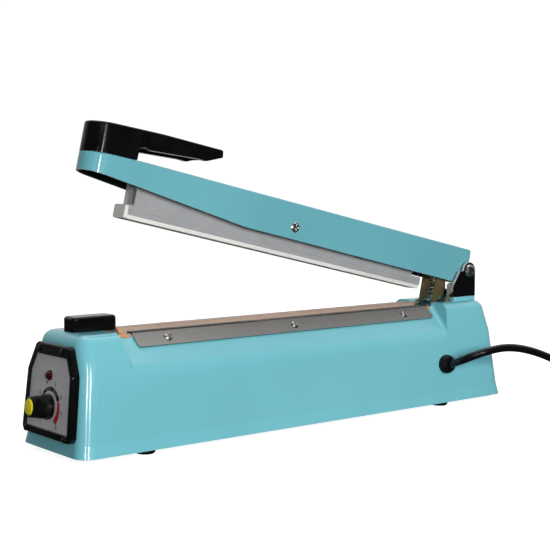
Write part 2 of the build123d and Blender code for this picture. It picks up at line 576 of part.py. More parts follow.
def arm_parts():
    add_arm("arm_shell", arm_shell())
    add_arm("handle", handle())
    screws = []
    for x, z in zip(HANDLE_SCREWS_X, (13.5, 14.0)):
        seat = Plane((x, 0, z), z_dir=(0, 0, -1))
        screws.append(dome_screw(seat, 3.5, 2.0, SELF_TAP_R, 10))
    add_arm("handle_screws", *screws)
    sleeve = rod(5.0, (0, -11.9, 0), (0, 11.9, 0)) - rod(PIN_R + RUNNING, (0, -15, 0), (0, 15, 0))
    add_arm("pivot_sleeve", sleeve)
    half, t = 8.5, 1.5
    walls = across([(-28.5, 15.2), (-28.5, -32.5), (-26.5, -33.5), (-16.8, -25.5), (-16.8, 15.2)], half)
    walls -= box(-40, -16.8 - t, -half + t, half - t, -50, 15.2 - t)
    walls -= box(-20, -10, -half + t, half - t, -50, -15.0)
    tab = box(-17.5, -5.2, -half, -1.5, -12.4, -11.2)
    seat = box(-28.0, -17.5, -half + 0.5, half - 0.5, -10.0, -8.5)
    bracket = walls + tab + seat
    for x in RIVETS_X:
        bracket -= Pos(x, 0, 15) * Cylinder(RIVET_HOLE_R, 8)
    add_arm("spring_bracket", bracket)
    rivets = []
    rise = (ARM_TOP[2][1] - ARM_TOP[1][1]) / (ARM_TOP[2][0] - ARM_TOP[1][0])
    for x in RIVETS_X:
        z = ARM_TOP[2][1] + (x - ARM_REAR) * rise + 0.03
        rivets.append(dome_screw(Plane((x, 0, z)), 2.2, 0.9, M3_R, 5.6, False))
    add_arm("bracket_rivets", *rivets)


def press_bar():
    x, z = BAR_SCREW
    channel = across([(-342.0, HOLDER_TOP), (-342.0, 1.6), (-336.0, 4.0), (-60.0, 4.0), (-58.0, 2.0),
                      (-58.0, HOLDER_TOP)], 7.5)
    channel -= box(-343, -57, -6.2, 6.2, HOLDER_TOP + 1.5, 10)
    channel -= rod(BAR_SCREW_R + RUNNING, (x, -20, z), (x, 20, z))
    add_arm("press_channel", channel)
    x0, x1 = STRIP_X
    holder = box(x0 + 3, x1, -7.5, 7.5, HOLDER_BOTTOM, HOLDER_TOP) - box(x0, x1 + 2, -6.4, 6.4, HOLDER_BOTTOM - 1,
                                                                         HOLDER_TOP - 1.3)
    for side in (-1, 1):
        holder -= rod(0.45, (x0, side * 7.7, -18.4), (x1 + 2, side * 7.7, -18.4))
    add_arm("strip_holder", holder)
    strip = box(x0, x1 - 0.5, -6.3, 6.3, STRIP_BOTTOM, HOLDER_TOP - 1.4)
    strip += box(x0 + 2.9, x1 - 0.5, -6.9, 6.9, STRIP_BOTTOM, HOLDER_BOTTOM - 0.1)
    nose = box(x0, x0 + 2.9, -7.3, 7.3, STRIP_BOTTOM, HOLDER_TOP)
    strip += fillet(nose.edges().filter_by(Axis.X), 1.6)
    add_arm("silicone_strip", strip)
    head = Plane((x, -ARM_HALF_W, z), z_dir=(0, -1, 0))
    add_arm("bar_pivot_screw", dome_screw(head, 4.0, 2.0, BAR_SCREW_R, 33.0))
    nut = rod(3.9, (x, ARM_HALF_W, z), (x, ARM_HALF_W + 2.8, z)) & Pos(x, 0, z) * Box(20, 50, 6.8)
    add_arm("bar_pivot_nut", nut - rod(BAR_SCREW_R + PRESSED, (x, 10, z), (x, 20, z)))
    spacers = []
    for side in (-1, 1):
        tube = rod(4.0, (x, side * 7.7, z), (x, side * 13.4, z))
        spacers.append(tube - rod(BAR_SCREW_R + RUNNING, (x, side * 7, z), (x, side * 14, z)))
    add_arm("bar_spacers", *spacers)


def return_spring():
    """The outer sleeve of the lifting spring, from its seat on the shelf up into the zinc bracket."""
    low, high = Vector(*SPRING_LOW), Vector(*SPRING_HIGH)
    spring = rod(4.4, low, high) - rod(3.2, low - (high - low), high * 2 - low)
    add("return_spring", spring)


# ---- cord ----
def cord_route():
    """From the gland out to the side, over in a low arch, down to the table and along it to the coil."""
    floor = CORD_D / 2
    return [
        (140.4, -46.8, 36.7),
        (141.0, -58.0, 40.8),
        (145.5, -68.0, 46.0),
        (155.0, -75.5, 50.0),
        (170.0, -79.5, 51.8),
        (189.0, -81.0, 49.5),
        (211.0, -83.0, 43.5),
        (236.0, -86.5, 33.0),
        (263.0, -91.5, 20.5),
        (291.0, -98.5, 9.0),
        (318.0, -108.0, floor),
        (343.0, -119.0, floor),
    ]


def corner_radii(points):
    """As large an arc at each corner as its two runs allow."""
    radii = []
    for before, here, after in zip(points, points[1:], points[2:]):
        arriving = Vector(*here) - Vector(*before)
        leaving = Vector(*after) - Vector(*here)
        half_turn = math.radians(arriving.get_angle(leaving)) / 2
        radii.append(0.45 * min(arriving.length, leaving.length) / math.tan(half_turn))
    return radii


def coil_centre(route):
    """The coil lies to the left of the route's end, which runs into its outer turn."""
    end, before = Vector(*route[-1]), Vector(*route[-2])
    heading = (end - before).normalized()
    return end + Vector(-heading.Y, heading.X) * (COIL_MID_R + CORD_D)


def cord():
    bore = CORD_D / 2 + PRESSED
    outline = [(bore, -3.6), (6.3, -3.6), (6.4, 0.05), (7.5, 0.05), (7.9, 2.0), (7.6, 4.2), (6.4, 6.2),
               (4.8, GLAND_PROUD), (bore, GLAND_PROUD)]
    add("cord_gland", turned(outline, gland_plane()))
    route = cord_route()
    radii = corner_radii(route)
    print("cord radii", [round(r, 1) for r in radii])
    path = FilletPolyline(*route, radius=radii)
    start = Plane(route[0], z_dir=Vector(*route[1]) - Vector(*route[0]))
    tube = sweep(start * Circle(CORD_D / 2), path)
    print("cord tube volume", round(tube.volume), "of", round(math.pi * CORD_D**2 / 4 * path.length))
    centre = coil_centre(route)
    inner, outer = COIL_MID_R - 1.5 * CORD_D, COIL_MID_R + 1.5 * CORD_D
    ring = Plane((centre.X, centre.Y, 0))
    add("cord_coil", turned([(inner, 1.6), (inner + 1.6, 0), (outer - 1.6, 0), (outer, 1.6), (outer, 11.4),
                             (outer - 1.6, 2 * CORD_D), (inner + 1.6, 2 * CORD_D), (inner, 11.4)], ring))
    tail_x = centre.X + COIL_MID_R + CORD_D
    entry = Vector(tail_x, centre.Y + 30, PLUG_T / 2)
    tail = rod(CORD_D / 2, (tail_x, centre.Y + 4, 1.5 * CORD_D), entry)
    add("power_cord", tube, tail)
    aim = Plane(entry, x_dir=(1, 0, 0), z_dir=(0, 1, 0))
    relief = loft([aim * Circle(4.4), aim.offset(12) * Circle(5.4)])
    shoulders = loft([aim.offset(12) * RectangleRounded(16, 12, 4), aim.offset(22) * RectangleRounded(33, PLUG_T, 4)])
    body = extrude(aim.offset(22) * RectangleRounded(33, PLUG_T, 4), 20)
    pins = []
    plug = relief + shoulders + body
    for side in (-1, 1):
        pin = aim.offset(38) * Pos(side * 9.3, 0, 11.5) * Cylinder(2.0, 23)
        pins.append(fillet(pin.edges().sort_by(Axis.Y)[-1], 1.2))
        plug -= aim.offset(38) * Pos(side * 9.3, 0, 11.5) * Cylinder(2.01, 23)
    add("plug_body", plug)
    add("plug_pins", *pins)


if __name__ == "__main__":
    os.makedirs("parts", exist_ok=True)
    add("base_housing", housing())
    base_fittings()
    timer_electronics(control_panel())
    transformer()
    switch_group()
    hinge()
    heater()
    terminal_cover()
    arm_parts()
    press_bar()
    return_spring()
    cord()
    for node, solids in NODES.items():
        moved = [Pos(ORIGIN_SHIFT, 0, 0) * solid for solid in solids]
        whole = moved[0] if len(moved) == 1 else Compound(children=moved)
        export_step(whole, os.path.join("parts", node + ".step"))
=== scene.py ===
"""The looks of a hand impulse heat sealer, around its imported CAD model. Lengths are in metres."""
import json
import math
import random

import bmesh
import bpy
from mathutils import Matrix, Vector


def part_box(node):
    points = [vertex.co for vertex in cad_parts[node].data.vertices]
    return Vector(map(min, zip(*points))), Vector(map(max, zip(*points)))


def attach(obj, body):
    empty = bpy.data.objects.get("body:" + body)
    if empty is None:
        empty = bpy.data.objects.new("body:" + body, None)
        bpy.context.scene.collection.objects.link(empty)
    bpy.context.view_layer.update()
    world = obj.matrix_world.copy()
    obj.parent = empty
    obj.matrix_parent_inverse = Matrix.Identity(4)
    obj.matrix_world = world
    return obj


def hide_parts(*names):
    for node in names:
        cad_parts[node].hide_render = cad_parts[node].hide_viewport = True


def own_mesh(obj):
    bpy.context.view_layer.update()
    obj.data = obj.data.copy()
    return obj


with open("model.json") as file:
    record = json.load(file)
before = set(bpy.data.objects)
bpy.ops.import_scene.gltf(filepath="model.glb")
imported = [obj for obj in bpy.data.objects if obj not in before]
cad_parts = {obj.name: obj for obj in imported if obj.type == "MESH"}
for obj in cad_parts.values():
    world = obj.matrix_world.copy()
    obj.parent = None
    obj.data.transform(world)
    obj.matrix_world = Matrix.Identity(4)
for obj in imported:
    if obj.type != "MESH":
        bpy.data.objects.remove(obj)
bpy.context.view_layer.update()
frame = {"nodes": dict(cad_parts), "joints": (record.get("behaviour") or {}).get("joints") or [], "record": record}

NODES = frame["nodes"]
JOINTS = {joint["name"]: joint for joint in frame["joints"]}
MM = 0.001
SHOULDER_Z = 60 * MM
OPEN_ANGLE = -math.radians(JOINTS["arm_hinge"]["range_deg"][0])

CAMERA_PLACE = (-0.6089, -0.7545, 0.1924)
CAMERA_HEADING = -0.676807      # radians about Z, from facing +Y
CAMERA_BELOW_LEVEL = 0.078812
CAMERA_LENS = 81.1
MIDDLE = (0, 0, 0.08)           # what the large lights face
HANDLE_SIDE = (-0.2, 0, 0.12)   # what the narrow ones face

CORD_D = 6.5 * MM
COIL_MID_R = 36.0 * MM
COIL_POINTS = 24            # control points in a turn
STEPS_IN = ((0.80, 0.95), (1.80, 1.95))     # where the coil moves one cord inwards, in turns
CLIMB = (2.58, 2.80)                        # where it rises to its upper layer
STEPS_OUT = ((3.40, 3.60), (4.40, 4.60))    # where its upper layer moves one cord outwards
ROUTE = [
    (0.1484, -0.0468, 0.0367),
    (0.1490, -0.0580, 0.0408),
    (0.1535, -0.0680, 0.0460),
    (0.1630, -0.0755, 0.0500),
    (0.1780, -0.0795, 0.0518),
    (0.1970, -0.0810, 0.0495),
    (0.2190, -0.0830, 0.0435),
    (0.2440, -0.0865, 0.0330),
    (0.2710, -0.0915, 0.0205),
    (0.2990, -0.0985, 0.0090),
    (0.3260, -0.1080, 0.00325),
    (0.3510, -0.1190, 0.00325),
]


def link(obj):
    bpy.context.scene.collection.objects.link(obj)
    return obj


def mesh_object(name, mesh, material, body):
    mesh.materials.append(material)
    obj = link(bpy.data.objects.new(name, mesh))
    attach(obj, body)
    return obj


# ---- camera, light and floor ----
def camera():
    data = bpy.data.cameras.new("camera")
    data.lens = CAMERA_LENS
    data.sensor_width = 36
    obj = link(bpy.data.objects.new("camera", data))
    obj.location = CAMERA_PLACE
    obj.rotation_euler = (math.pi / 2 - CAMERA_BELOW_LEVEL, 0, CAMERA_HEADING)
    bpy.context.scene.camera = obj


def softbox(name, place, aim, width, height, power, mirrored=True):
    """A rectangular light; mirrored tells whether glossy surfaces show it."""
    data = bpy.data.lights.new(name, "AREA")
    data.shape = "RECTANGLE"
    data.size = width
    data.size_y = height
    data.energy = power
    obj = link(bpy.data.objects.new(name, data))
    obj.location = place
    obj.visible_glossy = mirrored
    obj.rotation_mode = "QUATERNION"
    obj.rotation_quaternion = (Vector(aim) - Vector(place)).to_track_quat("-Z", "Y")


def studio():
    softbox("key", (-0.2, -1.95, 0.6), MIDDLE, 0.7, 0.6, 27, mirrored=False)
    softbox("overhead", (0.2, 0.3, 1.9), MIDDLE, 1.8, 1.4, 12)
    softbox("strip_left", (-1.45, -1.2, 0.4), HANDLE_SIDE, 0.05, 0.4, 7.0)
    softbox("strip_right", (-0.9, -1.62, 0.4), HANDLE_SIDE, 0.06, 0.4, 9.0)
    world = bpy.data.worlds.new("studio")
    bpy.context.scene.world = world
    world.use_nodes = True
    nodes, links = world.node_tree.nodes, world.node_tree.links
    nodes.clear()
    out = nodes.new("ShaderNodeOutputWorld")
    pick = nodes.new("ShaderNodeMixShader")
    path = nodes.new("ShaderNodeLightPath")
    backdrop = nodes.new("ShaderNodeBackground")
    room = nodes.new("ShaderNodeBackground")
    spot = nodes.new("ShaderNodeTexCoord")
    toward = nodes.new("ShaderNodeVectorMath")
    ramp = nodes.new("ShaderNodeValToRGB")
    backdrop.inputs["Color"].default_value = (1, 1, 1, 1)
    backdrop.inputs["Strength"].default_value = 1.05
    room.inputs["Strength"].default_value = 0.7
    toward.operation = "DOT_PRODUCT"
    toward.inputs[1].default_value = (0.33, 0.42, 0.45)
    ramp.color_ramp.elements[0].position = 0.15
    ramp.color_ramp.elements[0].color = (0.04, 0.042, 0.045, 1)
    ramp.color_ramp.elements[1].position = 0.58
    ramp.color_ramp.elements[1].color = (1, 1, 1, 1)
    links.new(spot.outputs["Generated"], toward.inputs[0])
    links.new(toward.outputs["Value"], ramp.inputs["Fac"])
    links.new(ramp.outputs["Color"], room.inputs["Color"])
    links.new(path.outputs["Is Camera Ray"], pick.inputs["Fac"])
    links.new(room.outputs[0], pick.inputs[1])
    links.new(backdrop.outputs[0], pick.inputs[2])
    links.new(pick.outputs[0], out.inputs["Surface"])
    bpy.ops.mesh.primitive_plane_add(size=12)
    floor = bpy.context.object
    floor.name = "floor"
    paint = Paint("floor_white", (0.5, 0.5, 0.5), 0.9, specular=0.0)
    paint.vary(paint.noise(3, 2), (0.48, 0.48, 0.48), (0.52, 0.52, 0.52))
    paint.shader.inputs["Emission Color"].default_value = (1, 1, 1, 1)
    paint.shader.inputs["Emission Strength"].default_value = 0.88
    floor.data.materials.append(paint.material)
    floor.visible_glossy = False
    floor.visible_diffuse = False
    bpy.context.scene.view_settings.view_transform = "Standard"


# ---- materials ----
STREAKS = (1.5, 60, 60)     # stretches a noise into rolling lines along X


class Paint:
    """A procedural material: a principled shader whose colour, roughness and bump come from noise."""

    def __init__(self, name, color, roughness, metallic=0.0, specular=0.5, coat=0.0, coat_roughness=0.03):
        self.material = bpy.data.materials.new(name)
        self.material.use_nodes = True
        self.material.diffuse_color = (*color, 1)
        self.tree = self.material.node_tree
        self.shader = self.tree.nodes["Principled BSDF"]
        values = {"Base Color": (*color, 1), "Roughness": roughness, "Metallic": metallic,
                  "Specular IOR Level": specular, "Coat Weight": coat, "Coat Roughness": coat_roughness}
        for socket, value in values.items():
            self.shader.inputs[socket].default_value = value
        self.normal = None

    def node(self, kind, inputs=(), **settings):
        made = self.tree.nodes.new("ShaderNode" + kind)
        for key, value in settings.items():
            setattr(made, key, value)
        for key, value in dict(inputs).items():
            if isinstance(value, bpy.types.NodeSocket):
                self.tree.links.new(value, made.inputs[key])
            else:
                made.inputs[key].default_value = value
        return made

    def where(self, stretch=(1, 1, 1), tilt=0.0):
        """Object coordinates, turned about Y by tilt and then stretched."""
        coordinates = self.node("TexCoord").outputs["Object"]
        turned = self.node("Mapping", {"Vector": coordinates, "Rotation": (0, -tilt, 0)}).outputs[0]
        return self.node("Mapping", {"Vector": turned, "Scale": stretch}).outputs[0]

    def axis(self, name):
        """One of the object coordinates, X, Y or Z."""
        split = self.node("SeparateXYZ", {0: self.node("TexCoord").outputs["Object"]})
        return split.outputs[name]

    def noise(self, scale, detail=3.0, stretch=(1, 1, 1), tilt=0.0):
        values = {"Vector": self.where(stretch, tilt), "Scale": scale, "Detail": detail}
        return self.node("TexNoise", values).outputs["Fac"]

    def band(self, value, low, high, start=0.0, end=1.0):
        """Maps a value between low and high to start and end, smoothly."""
        values = {"Value": value, "From Min": low, "From Max": high, "To Min": start, "To Max": end}
        return self.node("MapRange", values, interpolation_type="SMOOTHSTEP").outputs[0]

    def math(self, operation, a, b=0.0):
        return self.node("Math", {0: a, 1: b}, operation=operation).outputs[0]

    def mix(self, factor, a, b):
        a = a if isinstance(a, bpy.types.NodeSocket) else (*a, 1)
        b = b if isinstance(b, bpy.types.NodeSocket) else (*b, 1)
        mixed = self.node("Mix", data_type="RGBA")
        for index, value in ((0, factor), (6, a), (7, b)):
            if isinstance(value, bpy.types.NodeSocket):
                self.tree.links.new(value, mixed.inputs[index])
            else:
                mixed.inputs[index].default_value = value
        return mixed.outputs[2]

    def color(self, socket):
        self.tree.links.new(socket, self.shader.inputs["Base Color"])

    def vary(self, factor, dark, light, low=0.35, high=0.65):
        socket = self.mix(self.band(factor, low, high), dark, light)
        self.color(socket)
        return socket

    def rough(self, factor, smooth, rough, low=0.35, high=0.65):
        self.tree.links.new(self.band(factor, low, high, smooth, rough), self.shader.inputs["Roughness"])

    def soften_shoulder(self, level, reach, half_step):
        """Turns the normals near a level so that the steep faces above and below it shade as one curve."""
        faces = self.node("NewGeometry").outputs["Normal"]
        z = self.axis("Z")
        below = self.math("MULTIPLY", self.band(z, level - reach, level), self.math("LESS_THAN", z, level))
        above = self.math("MULTIPLY", self.band(z, level + reach, level), self.math("GREATER_THAN", z, level))
        shift = self.math("MULTIPLY", self.math("SUBTRACT", below, above), half_step)
        steep = self.band(self.node("SeparateXYZ", {0: faces}).outputs["Z"], 0.5, 0.4)
        lift = self.node("CombineXYZ", {"Z": self.math("MULTIPLY", shift, steep)}).outputs[0]
        turned = self.node("VectorMath", {0: faces, 1: lift}, operation="ADD").outputs[0]
        self.normal = self.node("VectorMath", {0: turned}, operation="NORMALIZE").outputs[0]

    def bump(self, height, distance, strength=1.0):
        values = {"Height": height, "Distance": distance, "Strength": strength}
        if self.normal is not None:
            values["Normal"] = self.normal
        self.normal = self.node("Bump", values).outputs["Normal"]
        self.tree.links.new(self.normal, self.shader.inputs["Normal"])


def enamel(name, tone=1.0, painted_shade_inside=False):
    """Stoved enamel on sheet steel: orange peel, a few dust specks and chips along the lowest edge; optionally its
    inner faces are painted near-black as painted shade.
    """
    paint = Paint(name, (0.17, 0.50, 0.57), 0.16, specular=0.5, coat=0.35, coat_roughness=0.05)
    deep, pale = [tuple(tone * c for c in color) for color in ((0.165, 0.49, 0.56), (0.18, 0.525, 0.595))]
    body = paint.mix(paint.band(paint.noise(9, 2), 0.3, 0.7), deep, pale)
    specks = paint.band(paint.noise(420, 1), 0.80, 0.84)
    body = paint.mix(specks, body, (0.09, 0.27, 0.32))
    low = paint.band(paint.axis("Z"), 0.0068, 0.0045)
    chips = paint.math("MULTIPLY", low, paint.band(paint.noise(110, 3), 0.70, 0.715))
    body = paint.mix(chips, body, (0.75, 0.74, 0.70))
    # Painted shade: the channel's inward-facing and downward faces are painted near-black where shade falls inside
    # the arm.
    if painted_shade_inside:
        normal = paint.node("SeparateXYZ", {0: paint.node("NewGeometry").outputs["Normal"]})
        inward = paint.band(paint.math("MULTIPLY", normal.outputs["Y"], paint.axis("Y")), -0.002, -0.005)
        inside = paint.math("MAXIMUM", inward, paint.band(normal.outputs["Z"], -0.6, -0.8))
        body = paint.mix(inside, body, (0.008, 0.012, 0.013))
    paint.color(body)
    paint.rough(paint.noise(30, 4), 0.13, 0.2)
    if not painted_shade_inside:
        paint.soften_shoulder(SHOULDER_Z, 15 * MM, 0.095)
    paint.bump(paint.noise(330, 2), 0.00006, 0.5)
    paint.bump(paint.noise(45, 2), 0.0002, 0.35)
    return paint.material


def gloss_black():
    tone = 0.003
    paint = Paint("gloss_black", (tone, tone, tone * 1.1), 0.1, specular=0.4)
    paint.vary(paint.noise(60, 4), (tone * 0.7,) * 3, (tone * 1.4, tone * 1.4, tone * 1.6))
    paint.rough(paint.noise(90, 4), 0.07, 0.17)
    paint.bump(paint.noise(120, 2), 0.00006, 0.3)
    return paint.material


def hinge_paint():
    """Gloss black over steel, painted bright grey along the cut edges of the ears as a painted highlight, broken
    up by noise.
    """
    paint = Paint("hinge_paint", (0.003, 0.003, 0.004), 0.14, specular=0.4)
    normal = paint.node("SeparateXYZ", {0: paint.node("NewGeometry").outputs["Normal"]})
    flank = paint.math("ABSOLUTE", normal.outputs["Y"])
    # Painted highlight: the faces not turned to the sides, high on the ears (their cut edges), are painted bright
    # grey in broken patches where light glints along them.
    cut = paint.math("MULTIPLY", paint.band(flank, 0.6, 0.3), paint.band(paint.axis("Z"), 0.0925, 0.095))
    painted_edge_highlight = paint.math("MULTIPLY", cut, paint.band(paint.noise(150, 4), 0.3, 0.5, 0.35, 1.0))
    paint.color(paint.mix(painted_edge_highlight, (0.003, 0.003, 0.004), (0.55, 0.56, 0.56)))
    paint.rough(paint.noise(80, 4), 0.08, 0.22)
    paint.bump(paint.noise(200, 2), 0.00005, 0.4)
    return paint.material


def rolled_metal(name, color, roughness, tilt=0.0, grain=0.2, metallic=1.0):
    """Metal with fine lines along X, turned by tilt for what lies along the raised arm."""
    paint = Paint(name, color, roughness, metallic)
    lines = paint.noise(60, 6, STREAKS, tilt)
    clouds = paint.noise(22, 3)
    dark = tuple(c * (1 - grain) for c in color)
    light = tuple(min(1, c * (1 + 0.5 * grain)) for c in color)
    paint.vary(paint.math("ADD", paint.math("MULTIPLY", lines, 0.6), paint.math("MULTIPLY", clouds, 0.4)),
               dark, light)
    paint.rough(lines, roughness * 0.75, roughness * 1.3)
    paint.bump(lines, 0.00004, 0.4)
    return paint.material


def clamp_steel():
    """Rolled stainless strip, satin on the slope, painted near-black along its fold beside the cloth as painted
    shade and dark reflection of the gap there.
    """
    paint = Paint("stainless", (0.35, 0.34, 0.33), 0.38, 1.0)
    lines = paint.noise(60, 6, STREAKS)
    satin = paint.mix(paint.band(lines, 0.35, 0.65), (0.32, 0.31, 0.295), (0.42, 0.41, 0.395))
    # Painted shade: the band where the strip folds beside the cloth is painted near-black for the shadow gap and
    # its dark reflection.
    painted_shade_at_fold = paint.band(paint.math("ABSOLUTE", paint.axis("Y")), 16.0 * MM, 15.0 * MM)
    painted_shade_at_fold = paint.math("MULTIPLY", painted_shade_at_fold, paint.band(paint.noise(35, 3, (0.4, 1, 1)), 0.3, 0.6, 0.55, 0.95))
    paint.color(paint.mix(painted_shade_at_fold, satin, (0.03, 0.027, 0.024)))
    paint.rough(lines, 0.3, 0.45)
    paint.bump(lines, 0.00004, 0.4)
    return paint.material


def plated(name, color=(0.62, 0.62, 0.60), roughness=0.34):
    """Bright plated steel with faint clouding."""
    paint = Paint(name, color, roughness, 1.0)
    paint.vary(paint.noise(260, 4), tuple(c * 0.78 for c in color), tuple(min(1, c * 1.15) for c in color))
    paint.rough(paint.noise(500, 3), roughness * 0.7, roughness * 1.4)
    paint.bump(paint.noise(700, 2), 0.00003, 0.4)
    return paint.material


def yellow_zinc():
    """Passivated zinc: olive and gold, turning copper in patches."""
    paint = Paint("yellow_zinc", (0.42, 0.36, 0.16), 0.35, 0.85)
    body = paint.mix(paint.band(paint.noise(55, 3), 0.35, 0.65), (0.30, 0.29, 0.14), (0.52, 0.42, 0.20))
    paint.color(paint.mix(paint.band(paint.noise(38, 2, (1, 1, 0.5)), 0.52, 0.62), body, (0.55, 0.27, 0.12)))
    paint.rough(paint.noise(200, 4), 0.25, 0.45)
    paint.bump(paint.noise(400, 3), 0.00003, 0.4)
    return paint.material


def moulded(name, color, roughness, grain=600.0, depth=0.00004, specular=0.5, spread=0.12):
    """A moulded plastic or rubber with a fine grain."""
    paint = Paint(name, color, roughness, specular=specular)
    paint.vary(paint.noise(40, 4), tuple(c * (1 - spread) for c in color),
               tuple(min(1, c * (1 + spread)) for c in color))
    paint.rough(paint.noise(150, 4), roughness * 0.85, min(1, roughness * 1.15))
    paint.bump(paint.noise(grain, 3), depth, 0.5)
    return paint.material


def silicone():
    paint = Paint("silicone", (0.72, 0.71, 0.67), 0.45, specular=0.45)
    paint.shader.inputs["Subsurface Weight"].default_value = 0.15
    paint.shader.inputs["Subsurface Radius"].default_value = (0.004, 0.003, 0.002)
    paint.vary(paint.noise(25, 5, (0.4, 1, 1), OPEN_ANGLE), (0.66, 0.655, 0.62), (0.76, 0.75, 0.72))
    paint.rough(paint.noise(120, 4), 0.38, 0.55)
    paint.bump(paint.noise(300, 3), 0.00004, 0.5)
    return paint.material


def ptfe_glass():
    """Coated glass cloth: a fine weave, brown along the ridge, greyed on its sides as a painted reflection, copper
    at its ends, with scorch marks.
    """
    paint = Paint("ptfe_glass", (0.42, 0.27, 0.18), 0.3, specular=0.55)
    low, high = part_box("ptfe_cloth")
    across = paint.axis("Y")
    clouds = paint.band(paint.noise(14, 5, (0.5, 2, 2)), 0.35, 0.65)
    body = paint.mix(clouds, (0.36, 0.22, 0.14), (0.50, 0.31, 0.21))
    # Painted reflection: beyond 5.5 to 7.5 mm from the middle, the cloth is mixed towards grey for the reflections
    # on its gloss.
    painted_reflection_grey = paint.band(paint.math("ABSOLUTE", across), 5.5 * MM, 7.5 * MM)
    body = paint.mix(paint.math("MULTIPLY", painted_reflection_grey, 0.7), body, (0.36, 0.33, 0.30))
    scorch = paint.band(paint.math("ABSOLUTE", across), 2.6 * MM, 1.2 * MM)
    scorch = paint.math("MULTIPLY", scorch, paint.band(paint.noise(30, 4, (0.3, 1, 1)), 0.4, 0.7, 0.15, 0.6))
    body = paint.mix(scorch, body, (0.16, 0.09, 0.05))
    front = paint.band(paint.axis("X"), low.x + 10 * MM, low.x + 7 * MM)
    rear = paint.band(paint.axis("X"), high.x - 10 * MM, high.x - 7 * MM)
    ends = paint.math("MAXIMUM", front, rear)
    paint.color(paint.mix(ends, body, (0.66, 0.29, 0.11)))
    paint.rough(paint.noise(60, 4), 0.22, 0.4)
    values = {"Vector": paint.where(), "Scale": 950.0, "Distortion": 0.4}
    warp = paint.node("TexWave", values, bands_direction="X").outputs["Fac"]
    weft = paint.node("TexWave", values, bands_direction="Y").outputs["Fac"]
    paint.bump(paint.math("MAXIMUM", warp, weft), 0.00004, 0.5)
    return paint.material


def lens_red():
    paint = Paint("lens_red", (0.06, 0.004, 0.003), 0.12, specular=0.5, coat=0.3)
    paint.shader.inputs["Transmission Weight"].default_value = 0.25
    paint.vary(paint.noise(300, 2), (0.04, 0.002, 0.002), (0.09, 0.005, 0.004))
    paint.bump(paint.noise(500, 2), 0.00002, 0.3)
    return paint.material


def panel_plate():
    """Silver-grey printed sheet, finely brushed."""
    paint = Paint("panel_plate", (0.58, 0.585, 0.6), 0.45, 0.2)
    brush = paint.noise(90, 6, (40, 1.5, 40))
    paint.vary(brush, (0.54, 0.545, 0.56), (0.62, 0.625, 0.64))
    paint.rough(brush, 0.36, 0.5)
    paint.bump(brush, 0.00002, 0.4)
    return paint.material


def laminations():
    paint = Paint("laminations", (0.10, 0.10, 0.105), 0.5, 0.8)
    values = {"Vector": paint.where(), "Scale": 320.0}
    sheets = paint.node("TexWave", values, bands_direction="Y").outputs["Fac"]
    paint.vary(sheets, (0.05, 0.05, 0.055), (0.20, 0.20, 0.21))
    paint.rough(paint.noise(90, 3), 0.4, 0.6)
    paint.bump(sheets, 0.0002, 0.6)
    return paint.material


def finish_nodes():
    """Gives every CAD node its material."""
    made = {
        "enamel_teal": enamel("enamel", 0.97),
        "gloss_black": gloss_black(),
        "black_paint": hinge_paint(),
        "zinc_plate": plated("zinc_plate"),
        "yellow_zinc": yellow_zinc(),
        "stainless": clamp_steel(),
        "aluminium": rolled_metal("aluminium", (0.60, 0.61, 0.625), 0.42, OPEN_ANGLE, 0.14, metallic=0.45),
        "silicone": silicone(),
        "black_rubber": moulded("black_rubber", (0.003, 0.003, 0.003), 0.5, 900, specular=0.2),
        "cable_jacket": moulded("cable_jacket", (0.003, 0.003, 0.004), 0.25, 500, 0.00003, 0.4),
        "ptfe_glass": ptfe_glass(),
        "brass": plated("brass", (0.75, 0.56, 0.26), 0.25),
        "nichrome": rolled_metal("nichrome", (0.40, 0.37, 0.35), 0.4),
        "phenolic": moulded("phenolic", (0.11, 0.045, 0.02), 0.45),
        "white_nylon": moulded("white_nylon", (0.72, 0.71, 0.66), 0.4, spread=0.05),
        "beige_nylon": moulded("beige_nylon", (0.55, 0.45, 0.28), 0.42, spread=0.08),
        "yellow_plastic": moulded("yellow_plastic", (0.78, 0.66, 0.02), 0.25, 300, 0.00003, spread=0.06),
        "red_lens": lens_red(),
        "dial_print": panel_plate(),
        "circuit_board": moulded("circuit_board", (0.02, 0.11, 0.04), 0.35, 300),
        "capacitor_sleeve": moulded("capacitor_sleeve", (0.02, 0.025, 0.08), 0.3),
        "relay_case": moulded("relay_case", (0.02, 0.07, 0.3), 0.4),
        "lamination": laminations(),
        "winding_tape": moulded("winding_tape", (0.55, 0.38, 0.08), 0.35, 200),
    }
    for part in frame["record"]["subparts"]:
        mesh = NODES[part["node"]].data
        mesh.materials.clear()
        mesh.materials.append(made[part["material_slot"]])
    # The arm's enamel is the base enamel darkened to 0.82 as painted shade, and its inside is painted near-black
    # as painted shade.
    NODES["arm_shell"].data.materials[0] = enamel("enamel_arm_painted_shade", 0.82, painted_shade_inside=True)
    return made


# ---- power cord ----
def ease(value, start, end):
    """0 before start, 1 after end, smooth between."""
    t = min(1.0, max(0.0, (value - start) / (end - start)))
    return t * t * (3 - 2 * t)


def coil_points(start, before):
    """Two layers of three turns: inwards on the floor, up at the inside, and outwards on top."""
    heading = (start - before).normalized()
    centre = start + Vector((-heading.y, heading.x, 0)) * (COIL_MID_R + CORD_D)
    first = math.atan2(start.y - centre.y, start.x - centre.x)
    turns = 5 - first / (2 * math.pi)
    # control points stand a little outside their turn
    outside = 2 / (1 + math.cos(math.pi / COIL_POINTS))
    points = []
    count = round(turns * COIL_POINTS)
    for i in range(1, count + 1):
        t = turns * i / count
        steps_in = sum(ease(t, *step) for step in STEPS_IN)
        steps_out = sum(ease(t, *step) for step in STEPS_OUT)
        radius = (COIL_MID_R + CORD_D * (1 - steps_in + steps_out)) * outside
        angle = first + 2 * math.pi * t
        z = CORD_D * (0.5 + ease(t, *CLIMB))
        points.append(Vector((centre.x + radius * math.cos(angle), centre.y + radius * math.sin(angle), z)))
    return centre, points


